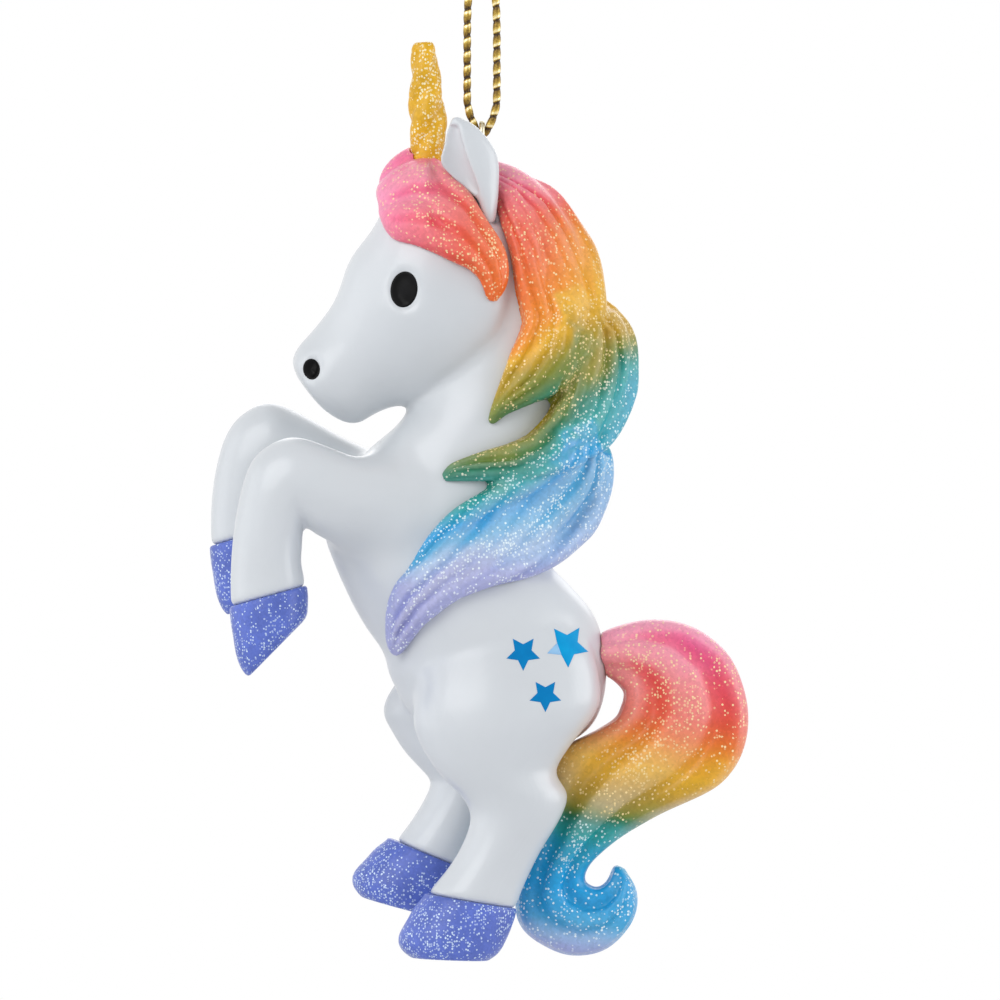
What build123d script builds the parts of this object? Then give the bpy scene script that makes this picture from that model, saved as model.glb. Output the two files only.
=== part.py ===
"""Rearing unicorn hanging ornament, built from separate resin sections on a cord.

Millimetres. +Z is up, the unicorn faces -X and its left side is -Y.
The origin is the inside of the cord loop, just under the knot.
"""

import math
import os

from build123d import *

os.makedirs("parts", exist_ok=True)

# Cord, knot and eye pin
CORD_DIAMETER = 1.0
LOOP_DROP = 21.0  # from under the knot to the centre of the ring's top wire
STRAND_SPREAD = 3.7  # between the centres of the two hanging strands
KNOT_SPREAD = 1.1  # between the strand centres where they leave the knot
KNOT_LEAD = 1.3  # straight cord below the knot, up to the corner of the first bend
SHOULDER_ANGLE = 25.0  # slope of the strands where they spread below the knot
SHOULDER_RADIUS = 4.5
BIGHT_ANGLE = 25.0  # slope of the strands where they close on the ring
BIGHT_SHOULDER_RADIUS = 3.2
KNOT_DIAMETER = 2.9
KNOT_HEIGHT = 3.0
KNOT_TAIL_LENGTH = 4.0
KNOT_TAIL_ANGLE = 20.0
WIRE_DIAMETER = 0.7
RING_DIAMETER = 3.4  # over the outside of the wire
PIN_DEPTH = 7.0  # length of shank inside the head
PIN_STAND = 6.1  # from the top of the head up to the centre of the ring's top wire

# Head and what it carries
HEAD_LENGTH = 29.5
HEAD_HEIGHT = 31.4
HEAD_WIDTH = 20.0
EAR_LENGTH = 7.25  # front to back
EAR_HEIGHT = 13.1
EAR_THICKNESS = 4.0
HORN_LENGTH = 14.1
HORN_BASE_DIAMETER = 4.5
HORN_TIP_DIAMETER = 2.9
HORN_ROOT = 3.2  # plain length below the horn's visible foot
FORELOCK_THICKNESS = 12.0
EYE_HEIGHT = 4.8
EYE_WIDTH = 3.6
EYE_DEPTH = 1.0
EYE_RISE = 0.45
NOSTRIL_HEIGHT = 2.8
NOSTRIL_WIDTH = 2.2
NOSTRIL_DEPTH = 1.3
NOSTRIL_RISE = 0.4
LENS_ROUND = 0.3  # rounding of the outer rim of eyes and nostrils

# Torso with the neck, and the mane on it
TORSO_LENGTH = 35.5  # front of the chest to the back of the rump
TORSO_HEIGHT = 70.0  # rump to the top of the neck
TORSO_WIDTH = 24.0
LOCK_THICKNESS = 7.0

# Legs, hooves and tail
FORELEG_REACH = 21.1
FORELEG_HEIGHT = 21.1
FORELEG_WIDTH = 9.2
FORE_HOOF_LENGTH = 9.5
FORE_HOOF_HEIGHT = 9.8
FORE_STRIDE = 2.8  # how far the right foreleg is ahead of the left one
FORE_LIFT = 7.5  # how far the right fore hoof is above the left one
HINDLEG_REACH = 23.0
HINDLEG_HEIGHT = 33.4
HINDLEG_WIDTH = 13.0
HIND_HOOF_LENGTH = 13.4
HIND_HOOF_HEIGHT = 7.3
HIND_STRIDE = 5.0
HIND_LIFT = 5.1
HOOF_LIP = 0.2  # how far a hoof stands out round the end of its leg
RIGHT_HIND_PITCH = 13.0
TAIL_LENGTH = 29.4
TAIL_HEIGHT = 42.3
TAIL_WIDTH = 11.0

# Pegs that locate the glued sections, and clearances
LEG_PEG_DIAMETER = 3.0
LEG_PEG_LENGTH = 9.0
HOOF_PEG_DIAMETER = 2.4
HOOF_PEG_LENGTH = 3.0
TAIL_PEG_DIAMETER = 3.0
TAIL_PEG_LENGTH = 7.0
EAR_PEG_DIAMETER = 1.6
EAR_PEG_LENGTH = 2.0
HORN_PEG_DIAMETER = 2.0
HORN_PEG_LENGTH = 4.5
PEG_ROOT = 2.0  # how far a peg runs back into its own piece
PEG_CLEARANCE = 0.1
CORD_CLEARANCE = 0.15
CUT_OVERRUN = 1.0

# Lofts and hair grooves
LOFT_STEPS = 2  # sections for each listed station
OVAL_LOBES = 6
HAIR_LOBES = 6
HAIR_GROOVE_SHARE = 0.08
HORN_LOBES = 3
HORN_GROOVE_SHARE = 0.12
HORN_TWIST = 300.0

# Stations of a piece: front x and z, back x and z, then width, as shares of its sizes.
TORSO_SHARES = (
    (0.549, 0.014, 0.669, -0.005, 0.20),
    (0.468, 0.034, 0.732, 0.002, 0.42),
    (0.317, 0.089, 0.944, 0.068, 0.79),
    (0.246, 0.152, 1.000, 0.148, 0.96),
    (0.215, 0.202, 0.993, 0.214, 1.00),
    (0.162, 0.241, 0.951, 0.273, 0.98),
    (0.116, 0.280, 0.873, 0.320, 0.95),
    (0.077, 0.321, 0.799, 0.362, 0.92),
    (0.039, 0.366, 0.785, 0.420, 0.88),
    (0.011, 0.420, 0.813, 0.482, 0.85),
    (0.056, 0.491, 0.859, 0.554, 0.78),
    (0.155, 0.559, 0.901, 0.625, 0.71),
    (0.275, 0.613, 0.926, 0.705, 0.65),
    (0.338, 0.679, 0.915, 0.795, 0.61),
    (0.373, 0.777, 0.866, 0.898, 0.57),
    (0.423, 0.884, 0.761, 0.982, 0.46),
    (0.507, 0.923, 0.669, 0.970, 0.22),
)
HEAD_SHARES = (
    (0.975, 0.709, 0.996, 0.570, 0.24),
    (0.881, 0.869, 0.966, 0.371, 0.70),
    (0.754, 0.968, 0.903, 0.191, 0.92),
    (0.585, 1.000, 0.720, 0.100, 1.00),
    (0.441, 0.928, 0.564, 0.072, 0.96),
    (0.339, 0.769, 0.449, 0.068, 0.86),
    (0.246, 0.649, 0.386, 0.052, 0.74),
    (0.182, 0.490, 0.335, 0.028, 0.64),
    (0.097, 0.378, 0.280, 0.000, 0.58),
    (0.030, 0.307, 0.212, 0.008, 0.55),
    (0.004, 0.259, 0.127, 0.060, 0.46),
    (0.002, 0.243, 0.055, 0.139, 0.30),
    (0.008, 0.215, 0.025, 0.179, 0.11),
)
FORELEG_SHARES = (
    (1.150, 0.790, 1.150, 0.280, 0.70),
    (0.880, 0.860, 0.880, 0.370, 0.98),
    (0.716, 0.893, 0.704, 0.367, 1.00),
    (0.515, 0.970, 0.515, 0.426, 1.00),
    (0.337, 1.000, 0.438, 0.485, 1.00),
    (0.142, 0.882, 0.426, 0.396, 0.98),
    (0.053, 0.633, 0.426, 0.367, 0.93),
    (0.012, 0.349, 0.420, 0.266, 0.91),
    (0.003, 0.130, 0.438, 0.172, 0.89),
    (0.006, 0.000, 0.444, 0.124, 0.91),
)
FORE_HOOF_SHARES = (
    (-0.460, -0.452, 0.513, -0.070, 0.98),
    (-0.408, -0.745, 0.500, -0.223, 0.96),
    (-0.342, -0.911, 0.447, -0.312, 0.89),
    (-0.263, -1.010, 0.368, -0.390, 0.74),
)
HINDLEG_SHARES = (
    (0.196, 1.056, 0.848, 1.037, 0.49),
    (0.098, 0.944, 0.978, 0.925, 0.80),
    (0.000, 0.738, 1.000, 0.757, 1.00),
    (0.033, 0.618, 0.859, 0.618, 0.97),
    (0.141, 0.502, 0.772, 0.513, 0.86),
    (0.277, 0.401, 0.832, 0.427, 0.80),
    (0.304, 0.318, 0.793, 0.337, 0.75),
    (0.228, 0.195, 0.685, 0.213, 0.72),
    (0.125, 0.101, 0.592, 0.079, 0.72),
    (0.065, 0.056, 0.549, 0.000, 0.74),
)
HIND_HOOF_SHARES = (
    (-0.565, -0.265, 0.388, -0.368, 0.83),
    (-0.659, -0.590, 0.341, -0.590, 0.86),
    (-0.640, -0.795, 0.266, -0.846, 0.85),
    (-0.547, -0.949, 0.164, -1.000, 0.75),
)
TAIL_SHARES = (
    (0.311, 0.828, 0.311, 0.923, 0.58),
    (0.391, 0.828, 0.379, 0.959, 0.73),
    (0.455, 0.787, 0.553, 0.994, 0.82),
    (0.455, 0.757, 0.745, 0.979, 0.91),
    (0.443, 0.740, 0.915, 0.891, 0.96),
    (0.413, 0.704, 0.996, 0.743, 1.00),
    (0.319, 0.666, 0.979, 0.604, 1.00),
    (0.170, 0.609, 0.872, 0.500, 0.96),
    (0.098, 0.506, 0.638, 0.423, 0.91),
    (0.072, 0.388, 0.455, 0.352, 0.84),
    (0.030, 0.260, 0.328, 0.278, 0.78),
    (0.000, 0.151, 0.298, 0.231, 0.76),
    (0.043, 0.068, 0.319, 0.213, 0.73),
    (0.213, 0.003, 0.349, 0.207, 0.69),
    (0.383, 0.018, 0.379, 0.216, 0.64),
    (0.498, 0.101, 0.400, 0.237, 0.55),
    (0.519, 0.186, 0.413, 0.260, 0.42),
    (0.468, 0.260, 0.426, 0.272, 0.15),
)

# Stations of a lock: one edge as x, z and y, the other edge as x, z and y, then thickness.
UPPER_LOCK_SHARES = (
    (0.528, 1.074, 0.28, 0.514, 1.048, -0.28, 0.55),
    (0.615, 1.063, 0.29, 0.585, 1.018, -0.33, 0.74),
    (0.711, 1.038, 0.25, 0.627, 1.005, -0.42, 0.80),
    (0.810, 1.013, 0.25, 0.637, 0.959, -0.57, 0.91),
    (0.908, 0.954, 0.21, 0.651, 0.911, -0.62, 0.97),
    (0.972, 0.893, 0.08, 0.665, 0.845, -0.63, 0.97),
    (1.000, 0.821, -0.17, 0.694, 0.786, -0.65, 0.94),
    (0.972, 0.745, -0.42, 0.658, 0.741, -0.66, 0.86),
    (0.845, 0.666, -0.63, 0.637, 0.705, -0.67, 0.74),
    (0.732, 0.641, -0.68, 0.616, 0.670, -0.68, 0.60),
    (0.655, 0.625, -0.70, 0.595, 0.637, -0.69, 0.40),
    (0.602, 0.605, -0.70, 0.581, 0.613, -0.70, 0.14),
)
MIDDLE_LOCK_SHARES = (
    (0.905, 0.855, 0.00, 0.810, 0.835, -0.33, 0.42),
    (1.049, 0.777, 0.21, 0.891, 0.768, -0.50, 0.94),
    (1.077, 0.705, 0.21, 0.866, 0.702, -0.58, 1.00),
    (1.074, 0.643, 0.08, 0.824, 0.655, -0.63, 0.94),
    (1.007, 0.568, -0.25, 0.778, 0.625, -0.65, 0.86),
    (0.873, 0.523, -0.63, 0.715, 0.593, -0.68, 0.74),
    (0.732, 0.505, -0.77, 0.627, 0.570, -0.72, 0.63),
    (0.592, 0.505, -0.80, 0.539, 0.555, -0.76, 0.51),
    (0.479, 0.505, -0.80, 0.451, 0.537, -0.78, 0.34),
    (0.430, 0.504, -0.79, 0.419, 0.518, -0.78, 0.14),
)
LOWER_LOCK_SHARES = (
    (0.960, 0.615, 0.00, 0.850, 0.600, -0.40, 0.50),
    (0.989, 0.530, 0.21, 0.803, 0.554, -0.60, 0.97),
    (0.972, 0.464, 0.21, 0.697, 0.536, -0.72, 0.97),
    (0.915, 0.402, 0.08, 0.585, 0.509, -0.80, 0.94),
    (0.796, 0.345, -0.38, 0.493, 0.479, -0.85, 0.86),
    (0.644, 0.316, -0.83, 0.401, 0.434, -0.87, 0.74),
    (0.496, 0.295, -0.96, 0.317, 0.373, -0.88, 0.66),
    (0.380, 0.255, -0.91, 0.261, 0.327, -0.82, 0.57),
    (0.317, 0.218, -0.72, 0.236, 0.273, -0.68, 0.46),
    (0.285, 0.200, -0.62, 0.236, 0.223, -0.55, 0.29),
    (0.268, 0.195, -0.55, 0.250, 0.202, -0.53, 0.11),
)
FORELOCK_SHARES = (
    (0.390, 0.904, 0.20, 0.390, 0.812, -0.24, 0.34),
    (0.430, 0.985, 0.40, 0.424, 0.709, -0.72, 0.64),
    (0.517, 1.034, 0.50, 0.505, 0.673, -0.90, 0.94),
    (0.636, 1.030, 0.40, 0.619, 0.633, -0.99, 1.04),
    (0.737, 0.948, -0.30, 0.712, 0.606, -1.02, 0.72),
    (0.822, 0.801, -0.70, 0.767, 0.582, -1.00, 0.40),
    (0.894, 0.689, -0.78, 0.797, 0.538, -0.94, 0.32),
    (0.911, 0.578, -0.78, 0.809, 0.494, -0.90, 0.25),
    (0.877, 0.474, -0.80, 0.837, 0.452, -0.84, 0.10),
)
EAR_SHARES = (
    (0.207, 0.985, -0.66, 0.310, 0.990, -0.66, 0.24),
    (0.103, 0.867, -0.64, 0.638, 0.886, -0.64, 0.60),
    (0.034, 0.714, -0.62, 0.914, 0.695, -0.62, 0.85),
    (0.000, 0.543, -0.61, 1.000, 0.524, -0.61, 1.00),
    (0.259, 0.381, -0.61, 1.000, 0.343, -0.61, 1.00),
    (0.517, 0.257, -0.62, 0.983, 0.190, -0.62, 0.90),
    (0.672, 0.152, -0.62, 0.948, 0.000, -0.62, 0.78),
    (0.760, -0.120, -0.56, 0.965, -0.170, -0.56, 0.55),
)
EAR_SCOOP_SHARES = (
    (0.090, 0.905, -0.76, 0.300, 0.905, -0.70, 0.42),
    (-0.060, 0.780, -0.76, 0.360, 0.775, -0.70, 0.62),
    (-0.120, 0.640, -0.76, 0.450, 0.635, -0.70, 0.72),
    (-0.080, 0.500, -0.76, 0.560, 0.490, -0.70, 0.74),
    (0.200, 0.370, -0.76, 0.640, 0.350, -0.70, 0.62),
    (0.480, 0.265, -0.76, 0.700, 0.250, -0.70, 0.34),
)

# Levels of the horn's rings, and the share of the plain taper's diameter that each one has
HORN_LEVEL_SHARES = (0.0, 0.12, 0.24, 0.36, 0.48, 0.60, 0.72, 0.84, 0.94, 1.0)
HORN_END_SHARES = (0.88, 0.98, 1.06, 1.12, 1.12, 1.07, 1.04, 1.01, 0.95, 0.68)

# How far out each station of a foreleg stands, as a share of the distance at the hoof
FORE_SPREAD_SHARES = (0.50, 0.80, 0.94, 1.00, 1.00, 1.00, 1.00, 1.00, 1.00, 1.00)
HIND_SPREAD_SHARES = (1.00, 1.00, 1.00, 1.00, 1.00, 1.00, 1.00, 1.00, 1.00, 1.00)

# How much of the stride and the lift each station of a right leg takes
FORE_STRIDE_SHARES = (0.00, 0.20, 0.60, 0.85, 1.00, 1.00, 1.00, 1.00, 1.00, 1.00)
FORE_LIFT_SHARES = (0.00, 0.15, 0.35, 0.50, 0.60, 0.60, 0.75, 0.90, 1.00, 1.00)
HIND_STRIDE_SHARES = (0.30, 0.40, 0.75, 0.75, 0.80, 0.98, 1.00, 1.00, 1.00, 1.00)
HIND_LIFT_SHARES = (0.00, 0.00, 0.15, 0.30, 0.40, 0.60, 0.87, 1.00, 1.00, 1.05)

# Where pieces sit on each other: x and z as shares of the carrier, y of its half width
PIN_SHARE = 0.805  # of the head's length
TORSO_ON_HEAD_SHARES = (0.127, 0.868)  # front and top of the torso
FORELEG_ON_TORSO_SHARES = (0.275, 0.584)  # back and top of the left foreleg
HINDLEG_ON_TORSO_SHARES = (0.972, 0.223)
TAIL_ON_TORSO_SHARES = (0.680, 0.2625)  # front and top of the tail
EAR_ON_HEAD_SHARES = (0.631, 0.801)  # front and bottom of an ear
HORN_ON_HEAD_SHARES = (0.582, 1.068)
HORN_LEAN = 3.0
EYE_ON_HEAD_SHARES = (0.479, 0.526, 0.93)
EYE_TURN = 18.0
EYE_LEAN = 8.0
NOSTRIL_ON_HEAD_SHARES = (0.085, 0.215, 0.45)
NOSTRIL_TURN = 36.0
FORELEG_Y_SHARE = 0.68
HINDLEG_Y_SHARE = 0.60
FORE_PEG_SHARES = (0.050, 0.475, 0.45)
HIND_PEG_SHARES = (0.640, 0.150, 0.90)
TAIL_PEG_SHARES = (1.000, 0.197)
EAR_PEG_SHARES = (0.835, 0.840, 0.60)
EAR_PEG_SLOPE = 55.0

# Places worked out from the sizes above
wire_centre = Vector(0, 0, -LOOP_DROP)
head_front = -PIN_SHARE * HEAD_LENGTH
head_bottom = -LOOP_DROP - PIN_STAND - HEAD_HEIGHT
torso_front = head_front + TORSO_ON_HEAD_SHARES[0] * HEAD_LENGTH
torso_bottom = head_bottom + TORSO_ON_HEAD_SHARES[1] * HEAD_HEIGHT - TORSO_HEIGHT


def on_box(front, bottom, length, height, x_share, z_share, y=0.0):
    """A point given by its shares of a piece's length and height."""
    return Vector(front + x_share * length, y, bottom + z_share * height)


def on_head(x_share, z_share, y_share=0.0):
    return on_box(
        head_front, head_bottom, HEAD_LENGTH, HEAD_HEIGHT, x_share, z_share, y_share * HEAD_WIDTH / 2
    )


def on_torso(x_share, z_share, y_share=0.0):
    return on_box(
        torso_front, torso_bottom, TORSO_LENGTH, TORSO_HEIGHT, x_share, z_share, y_share * TORSO_WIDTH / 2
    )


def upright_stations(shares, point, width):
    """Stations of a piece on the middle plane, even on both sides of it."""
    return [(point(x1, z1, 0.0), point(x2, z2, 0.0), share * width / 2) for x1, z1, x2, z2, share in shares]


def leg_stations(shares, spreads, point, width, y_share):
    """Stations of a leg, each at its own distance from the middle plane."""
    return [
        (point(x1, z1, spread * y_share), point(x2, z2, spread * y_share), share * width / 2)
        for (x1, z1, x2, z2, share), spread in zip(shares, spreads)
    ]


def lock_stations(shares, point, thickness):
    """Stations of a piece that lies on the side of another one."""
    return [
        (point(x1, z1, y1), point(x2, z2, y2), share * thickness / 2)
        for x1, z1, y1, x2, z2, y2, share in shares
    ]


def in_between(before, start, end, after, part):
    """Value part of the way from start to end on a smooth curve through all four."""
    pull_start = (end - before) / 2
    pull_end = (after - start) / 2
    blend = part * part * (3 - 2 * part)
    rise = part * (1 - part) * (1 - part)
    fall = part * part * (1 - part)
    return start + (end - start) * blend + pull_start * rise - pull_end * fall


def refined(stations, steps):
    """The same run of stations with smooth ones added between them, to steady the loft."""
    last = len(stations) - 1
    fine = []
    for index in range(last):
        four = [stations[min(max(index + shift, 0), last)] for shift in (-1, 0, 1, 2)]
        for step in range(steps):
            fine.append(tuple(in_between(*values, step / steps) for values in zip(*four)))
    fine.append(stations[-1])
    return fine


def station_planes(stations):
    """A plane across the flow at each station, with the half length of its oval."""
    middles = [(edge + other) / 2 for edge, other, _ in stations]
    planes = []
    for index, (edge, other, _) in enumerate(stations):
        ahead = middles[min(index + 1, len(middles) - 1)]
        behind = middles[max(index - 1, 0)]
        across = (other - edge).normalized()
        flow = ahead - behind
        flow = (flow - across * flow.dot(across)).normalized()
        plane = Plane(origin=middles[index], x_dir=across, z_dir=flow)
        planes.append((plane, (other - edge).length / 2))
    return planes


def lobed_points(half_length, half_width, lobes, groove_share, twist=0.0):
    """Points round an oval, alternately in a groove and on a ridge."""
    points = []
    for index in range(2 * lobes):
        angle = math.pi * index / lobes + math.radians(twist)
        swell = 1 - groove_share * (-1) ** index
        points.append((half_length * swell * math.cos(angle), half_width * swell * math.sin(angle)))
    return points


def smooth_ring(plane, points):
    """Closed smooth outline through the points, as a face on the plane."""
    with BuildSketch(plane) as ring:
        with BuildLine():
            Spline(*points, periodic=True)
        make_face()
    return ring.sketch


def ridged_ring(plane, points):
    """Closed outline of arcs, each from one groove over a ridge to the next, as a face on the plane."""
    with BuildSketch(plane) as ring:
        with BuildLine():
            for index in range(0, len(points), 2):
                ThreePointArc(points[index], points[index + 1], points[(index + 2) % len(points)])
        make_face()
    return ring.sketch


def loft_stations(stations, ring=smooth_ring, lobes=OVAL_LOBES, groove_share=0.0, mode=Mode.ADD):
    """Smooth body through an oval at each station; any grooves run along it from end to end."""
    fine = refined(stations, LOFT_STEPS)
    sections = []
    for (plane, half_length), (_, _, half_width) in zip(station_planes(fine), fine):
        sections.append(ring(plane, lobed_points(half_length, half_width, lobes, groove_share)))
    loft(sections, mode=mode)


def peg(plane, diameter, length, clearance=0.0, mode=Mode.ADD):
    """Round peg along a plane's normal, or its socket when a clearance is given."""
    with BuildSketch(plane.offset(-PEG_ROOT)) as ring:
        Circle(diameter / 2 + clearance)
    extrude(ring.sketch, amount=PEG_ROOT + length + clearance, mode=mode)


def shifted(stations, strides, lifts, stride, lift):
    """The same stations, moved forward and up by their shares of a step."""
    moved = []
    for (edge, other, half_width), x_share, z_share in zip(stations, strides, lifts):
        step = Vector(-x_share * stride, 0, z_share * lift)
        moved.append((edge + step, other + step, half_width))
    return moved


def pitched(stations, middle, angle):
    """The same stations, turned about a sideways axis through a point."""
    axis = Axis(middle, (0, 1, 0))
    return [
        (
            Vector(Vertex(edge).rotate(axis, angle).center()),
            Vector(Vertex(other).rotate(axis, angle).center()),
            half_width,
        )
        for edge, other, half_width in stations
    ]


def hoof_stations(leg_stations, shares, length, height, width):
    """Hoof below a leg: it starts on the plane where the leg ends."""
    edge, other, half_width = leg_stations[-1]
    middle = (edge + other) / 2
    grown = (other - edge).normalized() * HOOF_LIP
    stations = [(edge - grown, other + grown, half_width + HOOF_LIP)]
    for x1, z1, x2, z2, share in shares:
        front = middle + Vector(x1 * length, 0, z1 * height)
        back = middle + Vector(x2 * length, 0, z2 * height)
        stations.append((front, back, share * width / 2))
    return stations


# Stations of the legs and hooves, left ones first
fore_corner = on_torso(*FORELEG_ON_TORSO_SHARES)
hind_corner = on_torso(*HINDLEG_ON_TORSO_SHARES)
tail_corner = on_torso(*TAIL_ON_TORSO_SHARES)
ear_corner = on_head(*EAR_ON_HEAD_SHARES)


def on_foreleg(x_share, z_share, y_share):
    return on_box(
        fore_corner.X - FORELEG_REACH,
        fore_corner.Z - FORELEG_HEIGHT,
        FORELEG_REACH,
        FORELEG_HEIGHT,
        x_share,
        z_share,
        y_share * TORSO_WIDTH / 2,
    )


def on_hindleg(x_share, z_share, y_share):
    return on_box(
        hind_corner.X - HINDLEG_REACH,
        hind_corner.Z - HINDLEG_HEIGHT,
        HINDLEG_REACH,
        HINDLEG_HEIGHT,
        x_share,
        z_share,
        y_share * TORSO_WIDTH / 2,
    )


def on_tail(x_share, z_share, y_share):
    return on_box(
        tail_corner.X, tail_corner.Z - TAIL_HEIGHT, TAIL_LENGTH, TAIL_HEIGHT, x_share, z_share, y_share
    )


def on_ear(x_share, z_share, y_share):
    return on_box(
        ear_corner.X, ear_corner.Z, EAR_LENGTH, EAR_HEIGHT, x_share, z_share, y_share * HEAD_WIDTH / 2
    )


left_fore = leg_stations(FORELEG_SHARES, FORE_SPREAD_SHARES, on_foreleg, FORELEG_WIDTH, -FORELEG_Y_SHARE)
right_fore = shifted(
    leg_stations(FORELEG_SHARES, FORE_SPREAD_SHARES, on_foreleg, FORELEG_WIDTH, FORELEG_Y_SHARE),
    FORE_STRIDE_SHARES,
    FORE_LIFT_SHARES,
    FORE_STRIDE,
    FORE_LIFT,
)
left_hind = leg_stations(HINDLEG_SHARES, HIND_SPREAD_SHARES, on_hindleg, HINDLEG_WIDTH, -HINDLEG_Y_SHARE)
right_hind = shifted(
    leg_stations(HINDLEG_SHARES, HIND_SPREAD_SHARES, on_hindleg, HINDLEG_WIDTH, HINDLEG_Y_SHARE),
    HIND_STRIDE_SHARES,
    HIND_LIFT_SHARES,
    HIND_STRIDE,
    HIND_LIFT,
)
right_ankle = (right_hind[-1][0] + right_hind[-1][1]) / 2
right_hind[-1:] = pitched(right_hind[-1:], right_ankle, RIGHT_HIND_PITCH)
left_fore_foot = hoof_stations(left_fore, FORE_HOOF_SHARES, FORE_HOOF_LENGTH, FORE_HOOF_HEIGHT, FORELEG_WIDTH)
right_fore_foot = hoof_stations(right_fore, FORE_HOOF_SHARES, FORE_HOOF_LENGTH, FORE_HOOF_HEIGHT, FORELEG_WIDTH)
left_hind_foot = hoof_stations(left_hind, HIND_HOOF_SHARES, HIND_HOOF_LENGTH, HIND_HOOF_HEIGHT, HINDLEG_WIDTH)
right_hind_foot = hoof_stations(right_hind, HIND_HOOF_SHARES, HIND_HOOF_LENGTH, HIND_HOOF_HEIGHT, HINDLEG_WIDTH)
right_hind_foot[1:] = pitched(right_hind_foot[1:], right_ankle, RIGHT_HIND_PITCH)


def hoof_plane(foot):
    """Plane of the joint between leg and hoof, with its normal up into the leg."""
    plane = station_planes(foot)[0][0]
    return Plane(origin=plane.origin, x_dir=plane.x_dir, z_dir=-plane.z_dir)


# Planes of the pegs, each with its normal into the carrier
fore_peg_planes = [
    Plane(
        origin=on_torso(FORE_PEG_SHARES[0], FORE_PEG_SHARES[1], side * FORE_PEG_SHARES[2]),
        x_dir=(0, 1, 0),
        z_dir=(1, 0, 0),
    )
    for side in (-1, 1)
]
hind_peg_planes = [
    Plane(
        origin=on_torso(HIND_PEG_SHARES[0], HIND_PEG_SHARES[1], side * HIND_PEG_SHARES[2]),
        x_dir=(1, 0, 0),
        z_dir=(0, -side, 0),
    )
    for side in (-1, 1)
]
tail_peg_plane = Plane(origin=on_torso(*TAIL_PEG_SHARES), x_dir=(0, 1, 0), z_dir=(-1, 0, 0))
ear_slope = math.radians(EAR_PEG_SLOPE)
ear_peg_planes = [
    Plane(
        origin=on_head(EAR_PEG_SHARES[0], EAR_PEG_SHARES[1], side * EAR_PEG_SHARES[2]),
        x_dir=(1, 0, 0),
        z_dir=(0, -side * math.cos(ear_slope), -math.sin(ear_slope)),
    )
    for side in (-1, 1)
]
horn_lean = math.radians(HORN_LEAN)
horn_axis = Vector(-math.sin(horn_lean), 0, math.cos(horn_lean))
horn_plane = Plane(origin=on_head(*HORN_ON_HEAD_SHARES), x_dir=(0, 1, 0), z_dir=horn_axis)
horn_peg_plane = Plane(origin=horn_plane.origin - horn_axis * HORN_ROOT, x_dir=(0, 1, 0), z_dir=-horn_axis)


def lens_plane(shares, side, turn, lean):
    """Plane on the side of the head, turned towards the nose."""
    angle = math.radians(turn)
    tilt = math.radians(lean)
    outward = Vector(-math.sin(angle), side * math.cos(angle), 0)
    along = Vector(-outward.Y * side, outward.X * side, 0) * math.sin(tilt) + Vector(0, 0, math.cos(tilt))
    return Plane(origin=on_head(shares[0], shares[1], side * shares[2]), x_dir=along, z_dir=outward)


eye_planes = [lens_plane(EYE_ON_HEAD_SHARES, side, EYE_TURN, EYE_LEAN) for side in (-1, 1)]
nostril_planes = [lens_plane(NOSTRIL_ON_HEAD_SHARES, side, NOSTRIL_TURN, 0.0) for side in (-1, 1)]


def lens(plane, height, width, depth, rise, mode=Mode.ADD):
    """Oval plug set into the surface."""
    with BuildSketch(plane.offset(-depth)) as oval:
        Ellipse(height / 2, width / 2)
    extrude(oval.sketch, amount=depth + rise, mode=mode)


# Forms that cut their neighbours
with BuildPart() as torso_form:
    loft_stations(upright_stations(TORSO_SHARES, on_torso, TORSO_WIDTH))

with BuildPart() as head_form:
    loft_stations(upright_stations(HEAD_SHARES, on_head, HEAD_WIDTH))

# Torso with sockets
with BuildPart() as torso:
    add(torso_form.part)
    for plane in fore_peg_planes + hind_peg_planes:
        peg(plane, LEG_PEG_DIAMETER, LEG_PEG_LENGTH, PEG_CLEARANCE, Mode.SUBTRACT)
    peg(tail_peg_plane, TAIL_PEG_DIAMETER, TAIL_PEG_LENGTH, PEG_CLEARANCE, Mode.SUBTRACT)
torso.part.label = "torso"
export_step(torso.part, "parts/torso.step")

# Head, seated on the neck
pin_length = RING_DIAMETER - WIRE_DIAMETER + PIN_STAND + PIN_DEPTH
with BuildPart() as head:
    add(head_form.part)
    add(torso_form.part, mode=Mode.SUBTRACT)
    for plane in eye_planes:
        lens(plane, EYE_HEIGHT, EYE_WIDTH, EYE_DEPTH, EYE_RISE + CUT_OVERRUN, Mode.SUBTRACT)
    for plane in nostril_planes:
        lens(plane, NOSTRIL_HEIGHT, NOSTRIL_WIDTH, NOSTRIL_DEPTH, NOSTRIL_RISE + CUT_OVERRUN, Mode.SUBTRACT)
    for plane in ear_peg_planes:
        peg(plane, EAR_PEG_DIAMETER, EAR_PEG_LENGTH, PEG_CLEARANCE, Mode.SUBTRACT)
    peg(horn_peg_plane, HORN_PEG_DIAMETER, HORN_PEG_LENGTH, PEG_CLEARANCE, Mode.SUBTRACT)
    with BuildSketch(Plane(origin=wire_centre)):
        Circle(WIRE_DIAMETER / 2 + PEG_CLEARANCE)
    extrude(amount=-(PIN_STAND + PIN_DEPTH + PEG_CLEARANCE), mode=Mode.SUBTRACT)
head.part.label = "head"
export_step(head.part, "parts/head.step")

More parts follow.
